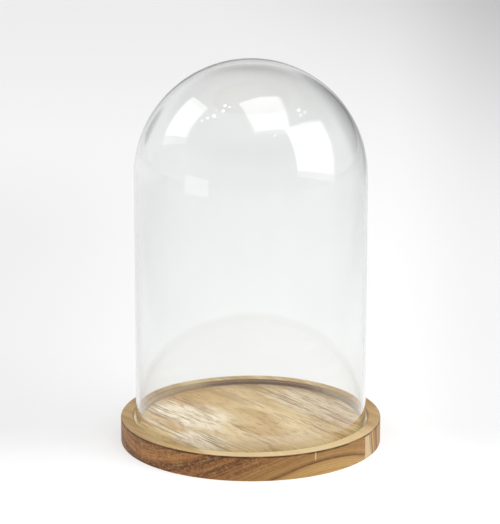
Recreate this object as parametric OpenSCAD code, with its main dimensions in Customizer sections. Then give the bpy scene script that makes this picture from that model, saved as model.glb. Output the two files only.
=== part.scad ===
// Display dome: a clear glass bell standing in the recess of a round wooden base.
// The base is turned from two boards glued edge to edge; the bell lifts straight off.
// Millimetres, +Z up, origin on the table plane under the middle of the base.

/* [Glass bell] */

// outside diameter of the bell
glass_diameter = 200; // [150:1:300]

// height of the bell from its foot to the top of the crown
glass_height = 318.5; // [180:0.5:450]

// thickness of the glass wall
glass_wall = 3; // [2:0.5:6]

// rounding of the two melted edges at the foot
foot_round = 0.9; // [0.2:0.1:0.9]

/* [Wooden base] */

// thickness of the base
base_height = 22.5; // [16:0.5:40]

// width of the raised rim's top
rim_width = 11.2; // [6:0.1:25]

// gap between the glass and the wall of the recess, all round
recess_gap = 1.8; // [0.8:0.1:4]

// depth of the recess below the top of the rim
recess_depth = 4; // [3:0.5:10]

// chamfer of the rim's outer top edge
outer_chamfer = 1; // [0.3:0.1:3]

// chamfer of the rim's inner top edge
inner_chamfer = 0.8; // [0.3:0.1:2]

// chamfer round the underside
under_chamfer = 1; // [0.3:0.1:3]

/* [Glued boards] */

// direction square to the glue line, from +X towards +Y, in degrees
seam_normal = 36; // [0:1:180]

// distance of the glue line from the middle, as a share of the base radius
seam_share = 0.41; // [0.1:0.01:0.88]

/* [Hidden] */

$fn = 96;

// radii of the bell
glass_r = glass_diameter / 2;
bore_r = glass_r - glass_wall;

// radii of the base
recess_r = glass_r + recess_gap;
base_r = recess_r + rim_width;

// heights
floor_z = base_height - recess_depth;
crown_z = floor_z + glass_height;
spring_z = crown_z - glass_r;

// distance of the glue line from the middle
seam_x = seam_share * base_r;

// how far cutting shapes run past what they cut
over = 5;

wood_colour = [0.72, 0.55, 0.36];
pale_colour = [0.80, 0.68, 0.50];
glass_colour = [0.86, 0.92, 0.90, 0.35];

// the wood that a chamfer takes off a corner at the origin, whichever way the corner points
module chamfer_waste(side) {
    rotate(45) square(side * sqrt(2), center = true);
}

// the wood that the tool takes off the base's edges, as a section to be turned
module edge_waste() {
    translate([base_r, base_height]) chamfer_waste(outer_chamfer);
    translate([recess_r, base_height]) chamfer_waste(inner_chamfer);
    translate([base_r, 0]) chamfer_waste(under_chamfer);
}

// the whole round base before it is parted into boards
module base_blank() {
    difference() {
        cylinder(r = base_r, h = base_height);
        translate([0, 0, floor_z]) cylinder(r = recess_r, h = recess_depth + over);
        rotate_extrude() edge_waste();
    }
}

// the stretch of the base between two distances along the direction square to the glue line
module board(from, to) {
    rotate([0, 0, seam_normal])
        intersection() {
            base_blank();
            translate([from, -base_r - over, -over])
                cube([to - from, 2 * (base_r + over), base_height + 2 * over]);
        }
}

module base_board_wide() {
    color(wood_colour) board(-base_r - over, seam_x);
}

module base_board_narrow() {
    color(pale_colour) board(seam_x, base_r + over);
}

// a solid bell of radius r with its foot at z = from, as a half section
module bell_section(r, from) {
    translate([0, from]) square([r, spring_z - from]);
    intersection() {
        translate([0, spring_z]) circle(r = r);
        translate([0, spring_z]) square([r + over, r + over]);
    }
}

// the corner that a rounding of radius r takes off, its sharp tip at the origin, the glass on -x and -y
module corner_waste(r) {
    difference() {
        translate([-r, -r]) square([r + over, r + over]);
        translate([-r, -r]) circle(r = r);
    }
}

module glass_section() {
    difference() {
        bell_section(glass_r, floor_z);
        bell_section(bore_r, floor_z - over);
        translate([glass_r, floor_z]) mirror([0, 1]) corner_waste(foot_round);
        translate([bore_r, floor_z]) mirror([0, 1]) mirror([1, 0]) corner_waste(foot_round);
    }
}

module glass_dome() {
    color(glass_colour) rotate_extrude() glass_section();
}

base_board_wide();
base_board_narrow();
glass_dome();
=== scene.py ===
"""Looks of the glass display dome: a blown glass bell standing in the recess of a round wooden base.

Everything is in metres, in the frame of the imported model, with X to the right and Y to the back. Positions come
from the CAD nodes' boxes. The wood's materials work in millimetres, which the names of their sockets go by.
"""
import math
from types import SimpleNamespace

import bmesh
import bpy
from mathutils import Matrix, Vector, noise


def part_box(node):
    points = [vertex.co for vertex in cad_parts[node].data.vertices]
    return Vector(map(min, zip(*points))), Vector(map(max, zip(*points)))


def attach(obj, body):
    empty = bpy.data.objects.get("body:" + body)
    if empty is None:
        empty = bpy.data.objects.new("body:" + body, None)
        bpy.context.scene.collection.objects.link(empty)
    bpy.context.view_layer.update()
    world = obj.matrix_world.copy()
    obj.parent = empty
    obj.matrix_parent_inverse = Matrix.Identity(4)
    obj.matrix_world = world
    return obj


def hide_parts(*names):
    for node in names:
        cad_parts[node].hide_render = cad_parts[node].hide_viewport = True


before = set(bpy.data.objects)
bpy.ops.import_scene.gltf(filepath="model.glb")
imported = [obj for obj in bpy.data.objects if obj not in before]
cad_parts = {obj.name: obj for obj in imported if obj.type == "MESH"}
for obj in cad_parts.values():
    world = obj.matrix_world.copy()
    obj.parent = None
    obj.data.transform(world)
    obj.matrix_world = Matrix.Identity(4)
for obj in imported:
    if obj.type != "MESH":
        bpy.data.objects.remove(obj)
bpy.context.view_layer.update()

MM = 0.001

# ---------------------------------------------------------------- sizes, from the frame
wide_low, wide_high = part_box("base_board_wide")
glass_low, glass_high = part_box("glass_dome")

BASE_R = max(-wide_low.x, -wide_low.y)
BASE_H = wide_high.z
FLOOR_Z = glass_low.z  # the recess's floor, which the bell stands on
GLASS_R = glass_high.x
CROWN_Z = glass_high.z
SPRING_Z = CROWN_Z - GLASS_R  # where the straight wall turns into the crown
WALL = 3.0 * MM
RECESS_R = GLASS_R + 1.8 * MM

# ---------------------------------------------------------------- the run of the wood
SEAM_NORMAL = math.radians(36)  # from +X towards +Y, square to the glue line and to the grain
SEAM_X = 0.41 * BASE_R  # distance of the glue line from the middle
PITH_X = 2 * MM  # heart of the wide board's tree, across the board
PITH_Z = -116 * MM  # and below the table

# ---------------------------------------------------------------- camera, as the photograph is taken
CAM_DISTANCE = 28.375 * GLASS_R
CAM_ELEVATION = math.radians(15.69)
CAM_TARGET = Vector((-0.0076 * GLASS_R, 0, 1.6015 * GLASS_R))
CAM_LENS = 226.5
CAM_ROLL = math.radians(0.07)


def add_camera():
    data = bpy.data.cameras.new("camera")
    data.lens = CAM_LENS
    data.sensor_width = 36
    data.clip_start = 0.1
    data.clip_end = 60
    camera = bpy.data.objects.new("camera", data)
    bpy.context.collection.objects.link(camera)
    back = Vector((0, -math.cos(CAM_ELEVATION), math.sin(CAM_ELEVATION)))
    camera.location = CAM_TARGET + back * CAM_DISTANCE
    turn = (-back).to_track_quat("-Z", "Y").to_matrix() @ Matrix.Rotation(CAM_ROLL, 3, "Z")
    camera.rotation_euler = turn.to_euler()
    bpy.context.scene.camera = camera


# ---------------------------------------------------------------- node helpers
class Nodes:
    """Short ways to add and join shader nodes in one tree."""

    def __init__(self, tree):
        self.tree = tree
        tree.nodes.clear()

    def add(self, kind, **settings):
        node = self.tree.nodes.new(kind)
        for name, value in settings.items():
            setattr(node, name, value)
        return node

    def put(self, socket, value):
        if isinstance(value, bpy.types.NodeSocket):
            self.tree.links.new(value, socket)
        else:
            socket.default_value = value

    def math(self, operation, a, b=0.0, c=0.0):
        node = self.add("ShaderNodeMath", operation=operation)
        for socket, value in zip(node.inputs, (a, b, c)):
            self.put(socket, value)
        return node.outputs[0]

    def times(self, first, *others):
        for other in others:
            first = self.math("MULTIPLY", first, other)
        return first

    def most(self, first, *others):
        for other in others:
            first = self.math("MAXIMUM", first, other)
        return first

    def length(self, a, b):
        return self.math("SQRT", self.math("ADD", self.math("MULTIPLY", a, a), self.math("MULTIPLY", b, b)))

    def distance(self, value, centre):
        return self.math("ABSOLUTE", self.math("SUBTRACT", value, centre))

    def step(self, value, low, high, out_low=0.0, out_high=1.0):
        """A smooth step of value from out_low at low to out_high at high."""
        node = self.add("ShaderNodeMapRange", interpolation_type="SMOOTHSTEP")
        for socket, number in zip(node.inputs, (value, low, high, out_low, out_high)):
            self.put(socket, number)
        return node.outputs[0]

    def mix(self, factor, a, b):
        node = self.add("ShaderNodeMix", data_type="RGBA")
        self.put(node.inputs["Factor"], factor)
        self.put(node.inputs[6], a if isinstance(a, bpy.types.NodeSocket) else (*a, 1))
        self.put(node.inputs[7], b if isinstance(b, bpy.types.NodeSocket) else (*b, 1))
        return node.outputs[2]

    def ramp(self, value, stops):
        node = self.add("ShaderNodeValToRGB")
        self.put(node.inputs[0], value)
        elements = node.color_ramp.elements
        while len(elements) < len(stops):
            elements.new(0.5)
        for element, (place, colour) in zip(elements, stops):
            element.position = place
            element.color = (*colour, 1)
        return node.outputs[0]

    def split(self, vector):
        node = self.add("ShaderNodeSeparateXYZ")
        self.put(node.inputs[0], vector)
        return node.outputs

    def grain(self, vector, size, offset=(0, 0, 0), detail=2.0, rough=0.5, warp=0.0):
        """Noise whose features are about that size along each axis, in the vector's own units."""
        place = self.add("ShaderNodeMapping")
        self.put(place.inputs["Vector"], vector)
        place.inputs["Location"].default_value = offset
        place.inputs["Scale"].default_value = [1 / s for s in size]
        node = self.add("ShaderNodeTexNoise")
        self.put(node.inputs["Vector"], place.outputs[0])
        node.inputs["Scale"].default_value = 1.0
        node.inputs["Detail"].default_value = detail
        node.inputs["Roughness"].default_value = rough
        node.inputs["Distortion"].default_value = warp
        return node.outputs["Fac"]

    def drift(self, *settings, **more):
        """The same noise about zero."""
        return self.math("SUBTRACT", self.grain(*settings, **more), 0.5)

    def bump(self, height, strength, distance):
        node = self.add("ShaderNodeBump")
        node.inputs["Strength"].default_value = strength
        node.inputs["Distance"].default_value = distance
        self.put(node.inputs["Height"], height)
        return node.outputs[0]


def new_material(name):
    """A material with one Principled shader, its nodes and that shader."""
    material = bpy.data.materials.new(name)
    material.use_nodes = True
    n = Nodes(material.node_tree)
    shader = n.add("ShaderNodeBsdfPrincipled")
    output = n.add("ShaderNodeOutputMaterial")
    n.tree.links.new(shader.outputs[0], output.inputs["Surface"])
    return material, n, shader


def linear(r, g, b):
    """A colour given as 0-255 screen values, as the linear numbers that shaders take."""
    def one(c):
        c /= 255
        return c / 12.92 if c <= 0.04045 else ((c + 0.055) / 1.055) ** 2.4
    return (one(r), one(g), one(b))


# ---------------------------------------------------------------- colours
GLASS_CLEAR = (0.958, 0.966, 0.962)
# darker green painted shade for the bell's foot
GLASS_FOOT_SHADE = (0.80, 0.85, 0.78)
WOOD_TAN = linear(217, 188, 134)
WOOD_CREAM = linear(234, 208, 158)
WOOD_GOLD = linear(200, 161, 96)
# pale colour of painted reflection and painted highlight on the wood's top
WOOD_SHEEN = linear(250, 240, 218)
WOOD_STREAK = linear(158, 118, 72)
WOOD_PORE = linear(130, 92, 54)
WOOD_LATE = linear(92, 58, 30)
WOOD_BARK = linear(90, 52, 28)
WOOD_WALL = linear(112, 62, 24)
WOOD_HONEY = linear(184, 136, 82)
WOOD_DARK_LINE = linear(56, 34, 22)

# side colours against the distance from the tree's heart, as a share of a span in mm
SIDE_WIDE_SPAN = 200.0
SIDE_WIDE = [(0.637, linear(184, 146, 88)), (0.644, linear(100, 62, 28)), (0.650, linear(104, 66, 30)),
             (0.658, linear(164, 124, 70)), (0.690, linear(158, 116, 66)), (0.740, linear(150, 102, 56)),
             (0.768, linear(146, 96, 52)), (0.777, linear(112, 68, 36)), (0.787, linear(148, 96, 52)),
             (0.802, linear(140, 88, 48)), (0.815, linear(88, 50, 26)), (0.828, linear(112, 68, 36)),
             (0.845, linear(178, 120, 66)), (0.868, linear(160, 108, 62)), (0.895, linear(128, 86, 50))]
# and across the narrow board's upright rings, as a share of the base radius
SIDE_NARROW = [(0.41, linear(218, 196, 152)), (0.520, linear(208, 184, 138)), (0.542, linear(130, 88, 48)),
               (0.565, linear(192, 156, 104)), (0.610, linear(172, 134, 84)), (0.640, linear(122, 80, 46)),
               (0.680, linear(180, 142, 92)), (0.920, linear(160, 118, 72))]
# whitish patches of painted reflection in the wide board's top: across the grain, along it and how far they reach, in
# mm
SHEEN_PATCHES = [(-37, 38, 30, 52), (-72, -27, 22, 34)]

# ---------------------------------------------------------------- marks, painted shadow and painted highlight on the wood, in mm
FOOT_SHADOW_RING = (95.2, 96.6, 97.6, 98.6)  # radii where the painted shadow of the bell's foot starts, is full, and ends
FOOT_HIGHLIGHT_RING = (98.8, 99.6)  # radii where the pale painted highlight at the edge of the recess's floor starts
DARK_LINE_BELOW_RIM = (2.6, 1.4, 1.0, 0.3)  # the thin dark line under the rim's outer edge, down from the top
FLECK_RIGHT = 54.8  # the pale fleck on the side, right of the middle
FLECK_UP = (13, 16, 20.4, 21.4)  # and the heights where it starts, is full, and ends


# ---------------------------------------------------------------- materials
def glass_material():
    material, n, shader = new_material("blown_glass")
    shader.inputs["Roughness"].default_value = 0.0
    shader.inputs["IOR"].default_value = 1.5
    shader.inputs["Transmission Weight"].default_value = 1.0
    point = n.add("ShaderNodeTexCoord").outputs["Object"]
    height = n.split(point)[2]
    # painted shade: the melted foot is tinted a darker green than the rest of the glass
    foot = n.step(height, FLOOR_Z + 4.5 * MM, FLOOR_Z + 1.5 * MM)
    n.put(shader.inputs["Base Color"], n.mix(foot, GLASS_CLEAR, GLASS_FOOT_SHADE))
    waves = n.grain(point, (1 / 14, 1 / 14, 1 / 5), detail=1.0)
    n.put(shader.inputs["Normal"], n.bump(waves, 0.04, 0.002))
    return material


def wood_place(n, narrow):
    """Where a point of a board is, in mm: from the base's middle, in the grain's own axes, and in the tree."""
    scaled = n.add("ShaderNodeVectorMath", operation="SCALE")
    n.put(scaled.inputs[0], n.add("ShaderNodeTexCoord").outputs["Object"])
    scaled.inputs["Scale"].default_value = 1 / MM
    right, back, up = n.split(scaled.outputs[0])
    turned = n.add("ShaderNodeMapping")
    n.put(turned.inputs["Vector"], scaled.outputs[0])
    turned.inputs["Rotation"].default_value = (0, 0, -SEAM_NORMAL)
    point = turned.outputs[0]
    across, along = n.split(point)[:2]

    # the grain wanders a little along the tree, and the growth rings are where the ring distance is constant
    wander = n.drift(point, (60, 240, 60), detail=1.0)
    wandered = n.math("MULTIPLY_ADD", wander, 14.0, across)
    if narrow:
        ring = n.math("MULTIPLY_ADD", up, 0.12, wandered)
        heart = n.math("ABSOLUTE", across)
    else:
        ring = n.length(n.math("SUBTRACT", wandered, PITH_X / MM), n.math("SUBTRACT", up, PITH_Z / MM))
        heart = n.distance(across, PITH_X / MM)
    joined = n.add("ShaderNodeCombineXYZ")
    n.put(joined.inputs[0], ring)
    n.put(joined.inputs[1], along)
    return SimpleNamespace(right=right, back=back, up=up, radius=n.length(right, back), point=point, across=across,
                           along=along, ring=ring, ring_point=joined.outputs[0], heart=heart)


def sheen_place(n, at, narrow):
    """Where the whitish painted reflection lies: patches of the wide board, and the middle of the narrow one."""
    drift = n.drift(at.point, (14, 40, 14), offset=(1.7, 2.1, 0))
    if narrow:
        return n.step(n.math("MULTIPLY_ADD", drift, 60.0, n.math("ABSOLUTE", at.along)), 60, 30)
    sheen = 0.0
    for centre_across, centre_along, reach_across, reach_along in SHEEN_PATCHES:
        u = n.math("DIVIDE", n.math("SUBTRACT", at.across, centre_across), reach_across)
        v = n.math("DIVIDE", n.math("SUBTRACT", at.along, centre_along), reach_along)
        away = n.math("MULTIPLY_ADD", drift, 1.6, n.length(u, v))
        sheen = n.most(sheen, n.step(away, 1.15, 0.55))
    return sheen


def wood_top(n, at, narrow):
    """The sanded top: tan and golden bands, fine dark streaks, and a whitish painted reflection along the recess's
    grain.
    """
    broad = n.grain(at.ring_point, (8, 170, 1), offset=(3, 0, 0), detail=3.0, rough=0.6)
    patch = n.grain(at.point, (30, 75, 30), offset=(0.4, 5.2, 0), detail=1.0)
    colour = n.ramp(broad, [(0.34, WOOD_GOLD), (0.46, WOOD_TAN), (0.56, WOOD_CREAM), (0.68, WOOD_TAN)])
    colour = n.mix(n.step(patch, 0.52, 0.66, 0, 0.8), colour, WOOD_GOLD)

    lines = n.grain(at.ring_point, (1.7, 90, 1), detail=2.5, rough=0.65)
    veins = n.grain(at.ring_point, (4.2, 110, 1), offset=(5, 0, 0), detail=3.0, rough=0.65)
    dashes = n.grain(at.point, (1.4, 14, 1.4), detail=2.5, rough=0.65)
    sheen = sheen_place(n, at, narrow)
    recess = n.step(at.radius, RECESS_R / MM + 0.1, RECESS_R / MM - 0.1)
    density = n.most(sheen, n.step(patch, 0.40, 0.6, 0.5, 0.95))
    density = n.times(density, n.step(recess, 0, 1, 0.5, 1))

    sheen_grain = n.times(n.step(lines, 0.62, 0.46), n.step(dashes, 0.64, 0.46))
    sheen_grain = n.math("MULTIPLY_ADD", sheen_grain, 0.5, 0.12 if narrow else 0.35)
    # painted reflection: a whitish sheen along the grain inside the recess
    colour = n.mix(n.times(sheen, recess, sheen_grain), colour, WOOD_SHEEN)

    # straight streaks fade out over the heart, where the rings lie flat in the top
    straight = n.step(at.heart, 6, 34, 0.15, 1)
    colour = n.mix(n.times(n.step(lines, 0.54, 0.60, 0, 0.75), density, straight), colour, WOOD_PORE)
    vein = n.step(veins, 0.58, 0.63, 0, 0.75 if narrow else 0.5)
    colour = n.mix(n.times(vein, density, straight), colour, WOOD_STREAK)
    dash = n.times(n.step(dashes, 0.56, 0.61), density, n.step(sheen, 0, 1, 0.7, 0.42))
    colour = n.mix(dash, colour, WOOD_PORE)

    # painted light on the rim: a painted shade makes it browner at the two sides, and a painted highlight makes it
    # paler in front
    rim = n.step(recess, 1, 0)
    brown_and_shade = n.step(n.math("ABSOLUTE", at.right), 50, 105, 0, 0.6)
    colour = n.mix(n.times(brown_and_shade, rim), colour, WOOD_STREAK)
    rim_front_highlight = n.step(n.math("MULTIPLY_ADD", at.right, -0.4, at.back), -60, -100, 0, 0.7)
    colour = n.mix(n.times(rim_front_highlight, rim), colour, WOOD_CREAM)
    # the recess's floor is browner in front, a painted shade under the front rim, and also browner on the right and
    # just inside the bell at the back
    far_edge = n.times(n.step(at.radius, 84, 92), n.step(at.back, 30, 60, 0, 0.35))
    brown_and_shade = n.most(n.step(at.back, -25, -70, 0, 0.25), n.step(at.right, 30, 75, 0, 0.25), far_edge)
    colour = n.mix(n.times(brown_and_shade, recess), colour, WOOD_STREAK)

    # painted shadow of the bell's foot on the floor under it, and a pale painted highlight ring outside that
    start, full, fading, end = FOOT_SHADOW_RING
    foot_shadow = n.times(n.step(at.radius, start, full), n.step(at.radius, end, fading), 0.5)
    colour = n.mix(foot_shadow, colour, WOOD_PORE)
    # painted highlight: a pale ring at the edge of the recess's floor
    colour = n.mix(n.times(n.step(at.radius, *FOOT_HIGHLIGHT_RING), recess, 0.6), colour, WOOD_SHEEN)
    # a thin dark line along the rim's inner edge
    inner_edge = n.step(at.radius, RECESS_R / MM + 1.6, RECESS_R / MM + 0.8)
    colour = n.mix(n.times(inner_edge, rim, 0.45), colour, WOOD_PORE)
    return colour, lines, dashes


def wood_side(n, at, narrow):
    """Sides and end grain: broad rings of heartwood and sapwood, thin late-wood lines, curly pores."""
    if narrow:
        colour = n.ramp(n.math("DIVIDE", at.ring, BASE_R / MM), SIDE_NARROW)
    else:
        colour = n.ramp(n.math("DIVIDE", at.ring, SIDE_WIDE_SPAN), SIDE_WIDE)
    rings = n.grain(at.ring_point, (2.4, 200, 1), offset=(11, 3, 0), detail=3.0, rough=0.6)
    colour = n.mix(n.step(rings, 0.52, 0.64, 0, 0.55), colour, WOOD_LATE)
    colour = n.mix(n.step(rings, 0.47, 0.36, 0, 0.35), colour, WOOD_HONEY)
    waves = n.grain(at.ring_point, (1.3, 26, 1), offset=(4, 8, 0), detail=2.5, rough=0.6)
    colour = n.mix(n.step(waves, 0.53, 0.62, 0, 0.4), colour, WOOD_LATE)
    colour = n.mix(n.step(waves, 0.46, 0.38, 0, 0.35), colour, WOOD_GOLD)
    stipple = n.grain(at.point, (3.4, 3.8, 2.8), offset=(0, 9, 0), rough=0.55, warp=1.5)
    curl = 0.3 if narrow else n.step(at.ring, 130, 156, 0.3, 1)
    colour = n.mix(n.times(n.step(stipple, 0.50, 0.64, 0, 0.38), curl), colour, WOOD_BARK)
    colour = n.mix(n.times(n.step(stipple, 0.50, 0.38, 0, 0.45), curl), colour, WOOD_HONEY)

    # a thin dark line just under the rim's outer edge, patchy along it
    start, full, fading, end = [BASE_H / MM - depth for depth in DARK_LINE_BELOW_RIM]
    dark_line = n.times(n.step(at.up, start, full), n.step(at.up, end, fading))
    patchy = n.grain(at.point, (22, 22, math.inf), offset=(2, 4, 0))
    colour = n.mix(n.times(dark_line, n.step(patchy, 0.35, 0.6, 0.35, 0.95)), colour, WOOD_DARK_LINE)
    if not narrow:
        # one pale upright fleck, right of the front
        start, full, fading, end = FLECK_UP
        fleck = n.times(n.step(n.distance(at.right, FLECK_RIGHT), 0.9, 0.3), n.step(at.up, start, full),
                        n.step(at.up, end, fading), n.step(at.back, 0, -20, 0, 0.8))
        colour = n.mix(fleck, colour, WOOD_TAN)
    return colour, stipple


def recess_wall(n, at, top):
    """The recess's own wall: as the top, with brown end grain at the back and a golden line halfway up."""
    brown = n.times(n.step(n.distance(at.right, 12), 66, 38, 0.12, 0.95), n.step(at.back, 60, 92))
    colour = n.mix(brown, top, WOOD_WALL)
    return n.mix(n.step(n.distance(at.up, FLOOR_Z / MM + 2.4), 0.7, 0.2, 0, 0.5), colour, WOOD_GOLD)


def wood_material(name, narrow):
    material, n, shader = new_material(name)
    at = wood_place(n, narrow)
    top, lines, dashes = wood_top(n, at, narrow)
    side, stipple = wood_side(n, at, narrow)
    outer = n.step(at.radius, RECESS_R / MM + 2, RECESS_R / MM + 4)
    side = n.mix(outer, recess_wall(n, at, top), side)
    facing = n.split(n.add("ShaderNodeNewGeometry").outputs["True Normal"])[2]
    flat = n.step(n.math("ABSOLUTE", facing), 0.45, 0.85)
    n.put(shader.inputs["Base Color"], n.mix(flat, side, top))

    n.put(shader.inputs["Roughness"], n.math("MULTIPLY_ADD", dashes, 0.25, 0.4))
    shader.inputs["Specular IOR Level"].default_value = 0.3
    height = n.math("MULTIPLY_ADD", dashes, -0.6, n.times(stipple, 0.8))
    height = n.math("MULTIPLY_ADD", lines, -0.4, height)
    n.put(shader.inputs["Normal"], n.bump(height, 0.5, 0.0004))
    return material


PAPER_WHITE = 0.42


def stage_material():
    """White paper that glows a little, a painted light brightest in front, with a painted shade that dims it at its
    sides, in front and at the far right corner.
    """
    material, n, shader = new_material("white_paper")
    shader.inputs["Roughness"].default_value = 0.9
    shader.inputs["Specular IOR Level"].default_value = 0.1
    x, y = n.split(n.add("ShaderNodeTexCoord").outputs["Object"])[:2]
    spread = n.math("DIVIDE", x, n.math("MULTIPLY_ADD", y, 0.35, 1.0))  # sideways, widening to the back
    slant = n.math("MULTIPLY_ADD", x, 3.0, y)

    # painted shade: how much darker the paper's glow and colour are at its sides, its front and its far right corner
    left = n.times(n.step(spread, -0.32, -0.60), n.step(y, 0.75, 0.30, 0.0, 0.25))
    right = n.times(n.step(spread, 0.32, 0.60), n.step(y, 0.85, 0.40, 0.12, 0.25))
    front = n.step(y, -0.45, -0.85, 0.0, 0.28)
    corner = n.step(slant, 1.6, 3.6, 0.0, 0.22)
    dim = n.most(left, right, front, corner)

    # brightest in front, falling off to the back and to both sides
    glow = n.math("ADD", n.step(y, 0.45, 1.6, 0.60, 0.54), n.step(y, 0.05, -0.13, 0.0, 0.14))
    near = n.step(y, 1.2, 0.6)
    glow = n.math("MULTIPLY_ADD", near, n.step(x, -0.05, 0.14, -0.03, 0.01), glow)
    for shade in (n.step(spread, 0.11, 0.21, 0.0, 0.09), n.times(near, n.step(spread, -0.05, -0.22, 0.0, 0.075)), dim):
        glow = n.math("SUBTRACT", glow, shade)
    n.put(shader.inputs["Emission Color"], n.most(glow, 0.0))
    shader.inputs["Emission Strength"].default_value = 1.0
    n.put(shader.inputs["Base Color"], n.math("MULTIPLY_ADD", dim, -0.5 * PAPER_WHITE, PAPER_WHITE))
    return material


# ---------------------------------------------------------------- meshes
def arc(centre, radius, start, end, count):
    """Points (r, z) of an arc, angles in degrees from +r towards +z, both ends included."""
    points = []
    for i in range(count + 1):
        angle = math.radians(start + (end - start) * i / count)
        points.append((centre[0] + radius * math.cos(angle), centre[1] + radius * math.sin(angle)))
    return points


def line(start, end, count):
    """Points (r, z) between two others, neither end included."""
    return [(start[0] + (end[0] - start[0]) * i / count, start[1] + (end[1] - start[1]) * i / count)
            for i in range(1, count)]


def turned_mesh(profile, segments):
    """A closed solid turned about Z from a half section that starts and ends on the axis."""
    work = bmesh.new()
    rings = []
    for r, z in profile:
        if r < 1e-7:
            rings.append([work.verts.new((0, 0, z))])
            continue
        ring = []
        for i in range(segments):
            angle = 2 * math.pi * i / segments
            ring.append(work.verts.new((r * math.cos(angle), r * math.sin(angle), z)))
        rings.append(ring)
    for lower, upper in zip(rings, rings[1:]):
        for i in range(segments):
            j = (i + 1) % segments
            if len(lower) == 1:
                work.faces.new((lower[0], upper[j], upper[i]))
            elif len(upper) == 1:
                work.faces.new((lower[i], lower[j], upper[0]))
            else:
                work.faces.new((lower[i], lower[j], upper[j], upper[i]))
    bmesh.ops.recalc_face_normals(work, faces=work.faces)
    return work


def to_object(work, name, material, smooth=True):
    mesh = bpy.data.meshes.new(name)
    work.to_mesh(mesh)
    work.free()
    for polygon in mesh.polygons:
        polygon.use_smooth = smooth
    mesh.materials.append(material)
    piece = bpy.data.objects.new(name, mesh)
    bpy.context.collection.objects.link(piece)
    return piece


def glass_dome():
    """The bell: a blown wall with a melted round foot, whose inside wanders a little."""
    inner_r = GLASS_R - WALL
    foot_r = 0.5 * WALL
    foot = (GLASS_R - foot_r, FLOOR_Z + foot_r)
    even_z = FLOOR_Z + 6 * MM  # no wander below this
    profile = [(0, SPRING_Z + inner_r)]
    profile += arc((0, SPRING_Z), inner_r, 89, 0, 64)
    profile += line((inner_r, SPRING_Z), (inner_r, foot[1]), 60)
    profile += arc(foot, foot_r, 180, 360, 20)
    profile += line((GLASS_R, foot[1]), (GLASS_R, SPRING_Z), 60)
    profile += arc((0, SPRING_Z), GLASS_R, 0, 89, 64)
    profile += [(0, CROWN_Z)]
    work = turned_mesh(profile, 256)
    for vert in work.verts:
        above = vert.co.z - even_z
        from_spring = Vector((vert.co.x, vert.co.y, max(0.0, vert.co.z - SPRING_Z)))
        if GLASS_R - from_spring.length < 0.5 * WALL or above < 0:
            continue
        wander = noise.noise(Vector((vert.co.x * 16, vert.co.y * 16, vert.co.z * 7)))
        vert.co += from_spring.normalized() * (0.35 * MM * wander * min(1.0, above / (20 * MM)))
    dome = to_object(work, "dome_glass", glass_material())
    dome.visible_shadow = False
    return dome


def base_blank():
    """The whole round base before it is cut into its two boards, with its three edges rounded."""
    outer, inner, under = 1.3 * MM, 0.9 * MM, 0.9 * MM
    profile = [(0, 0)]
    profile += line((0, 0), (BASE_R - under, 0), 24)
    profile += arc((BASE_R - under, under), under, 270, 360, 8)
    profile += line((BASE_R, under), (BASE_R, BASE_H - outer), 12)
    profile += arc((BASE_R - outer, BASE_H - outer), outer, 0, 90, 10)
    profile += line((BASE_R - outer, BASE_H), (RECESS_R + inner, BASE_H), 6)
    profile += arc((RECESS_R + inner, BASE_H - inner), inner, 90, 180, 8)
    profile += line((RECESS_R, BASE_H - inner), (RECESS_R, FLOOR_Z), 4)
    profile += [(RECESS_R, FLOOR_Z)]
    profile += line((RECESS_R, FLOOR_Z), (0, FLOOR_Z), 24)
    profile += [(0, FLOOR_Z)]
    return turned_mesh(profile, 480)


def board(name, material, keep_far):
    """One board of the base: the turned blank cut at the glue line."""
    work = base_blank()
    normal = Vector((math.cos(SEAM_NORMAL), math.sin(SEAM_NORMAL), 0))
    geometry = work.verts[:] + work.edges[:] + work.faces[:]
    cut = bmesh.ops.bisect_plane(work, geom=geometry, plane_co=normal * SEAM_X, plane_no=normal,
                                 clear_inner=keep_far, clear_outer=not keep_far)
    edges = [e for e in cut["geom_cut"] if isinstance(e, bmesh.types.BMEdge)]
    bmesh.ops.contextual_create(work, geom=edges)
    bmesh.ops.recalc_face_normals(work, faces=work.faces)
    return to_object(work, name, material)


# ---------------------------------------------------------------- stage and light
# name, azimuth, elevation, width and height as shares of the distance, radiance, turn
WINDOWS = [("window_left", 162, 38, 0.50, 0.50, 1.8, -58),
           ("sill_left", 166, 34, 0.54, 0.54, 0.7, -58),
           ("window_top", -40, 73, 0.66, 0.60, 1.85, 64),
           ("sill_top", -44, 71, 0.72, 0.66, 0.6, 64),
           ("window_right", -15, 28, 0.80, 0.76, 1.8, -20),
           ("sill_right", -15, 24, 0.86, 0.84, 0.7, -20)]
# azimuth, elevation and width of small bare bulbs
BULBS = [(-175, 49, 0.03), (-172, 54, 0.03), (-168, 59, 0.045), (-160, 61, 0.02), (-166, 67, 0.045), (179, 70, 0.04),
         (-169, 73, 0.03), (-178, 63, 0.02), (12, 53, 0.04), (14, 48, 0.03), (4, 51, 0.03), (-55, 50, 0.02)]
BULB_RADIANCE = 8.0
ROOM_LEVELS = [(0.0, 0.78), (0.34, 0.74), (0.52, 0.34), (0.70, 0.29), (0.80, 0.40), (1.0, 0.48)]  # by height


def add_floor():
    work = bmesh.new()
    bmesh.ops.create_circle(work, cap_ends=True, segments=96, radius=14)
    floor = to_object(work, "floor", stage_material(), smooth=False)
    floor.location.z = -0.1 * MM


def towards(azimuth, elevation):
    """A direction from its azimuth, from +X towards +Y, and its elevation, in degrees."""
    a, e = math.radians(azimuth), math.radians(elevation)
    return Vector((math.cos(a) * math.cos(e), math.sin(a) * math.cos(e), math.sin(e)))


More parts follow.
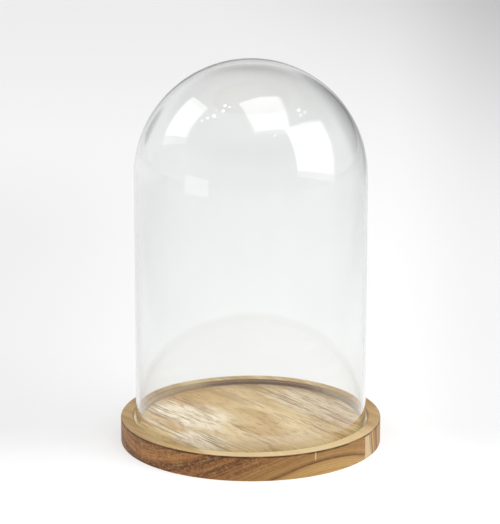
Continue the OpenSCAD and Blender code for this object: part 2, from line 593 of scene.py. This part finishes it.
def lamp(name, shape, azimuth, elevation, width, height, radiance, turn=0.0, distance=3.2):
    """A light that faces the dome's crown from one direction. The camera doesn't see it."""
    out = towards(azimuth, elevation)
    data = bpy.data.lights.new(name, "AREA")
    data.shape = shape
    data.size, data.size_y = width * distance, height * distance
    area = data.size * data.size_y * (math.pi / 4 if shape == "ELLIPSE" else 1)
    data.energy = radiance * math.pi * area
    light = bpy.data.objects.new(name, data)
    bpy.context.collection.objects.link(light)
    light.location = Vector((0, 0, SPRING_Z)) + out * distance
    aim = (-out).to_track_quat("-Z", "Y").to_matrix() @ Matrix.Rotation(math.radians(turn), 3, "Z")
    light.rotation_euler = aim.to_euler()
    light.visible_camera = False


def add_lights():
    for name, azimuth, elevation, width, height, radiance, turn in WINDOWS:
        lamp(name, "RECTANGLE", azimuth, elevation, width, height, radiance, turn)
    for i, (azimuth, elevation, width) in enumerate(BULBS):
        lamp(f"bulb_{i}", "ELLIPSE", azimuth, elevation, width, width, BULB_RADIANCE)
    lamp("low_panel", "RECTANGLE", -143, -1, 0.45, 0.27, 0.9, distance=1.1)


def add_world():
    """The room beyond the paper: pale near the paper, dim above it, dark at the back on the right and left."""
    world = bpy.data.worlds.new("studio")
    bpy.context.scene.world = world
    world.use_nodes = True
    n = Nodes(world.node_tree)
    direction = n.add("ShaderNodeTexCoord").outputs["Generated"]
    x, y, z = n.split(direction)

    def lobe(azimuth, elevation, outer, inner, amount):
        """Falls from 1 by amount towards one direction, between two angles from it, in degrees."""
        node = n.add("ShaderNodeVectorMath", operation="DOT_PRODUCT")
        n.put(node.inputs[0], direction)
        node.inputs[1].default_value = towards(azimuth, elevation)
        edge, core = math.cos(math.radians(outer)), math.cos(math.radians(inner))
        return n.step(node.outputs["Value"], edge, core, 1, 1 - amount)

    level = n.ramp(z, [(place, (grey,) * 3) for place, grey in ROOM_LEVELS])
    front = n.step(y, -0.2, -0.8, 1, 0.6)
    background = n.add("ShaderNodeBackground")
    n.put(background.inputs["Color"], level)
    n.put(background.inputs["Strength"], n.times(lobe(56, 8, 25, 12, 0.80), lobe(125, 4.5, 9, 4, 0.80), front))
    output = n.add("ShaderNodeOutputWorld")
    n.tree.links.new(background.outputs[0], output.inputs["Surface"])


# ---------------------------------------------------------------- the scene
bpy.context.scene.view_settings.view_transform = "Standard"
add_camera()
add_floor()
add_world()
add_lights()

dome = glass_dome()
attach(dome, "dome")
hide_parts("glass_dome")

wide = board("board_wide", wood_material("wood_wide", narrow=False), keep_far=False)
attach(wide, "base")
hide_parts("base_board_wide")

narrow = board("board_narrow", wood_material("wood_narrow", narrow=True), keep_far=True)
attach(narrow, "base")
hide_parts("base_board_narrow")
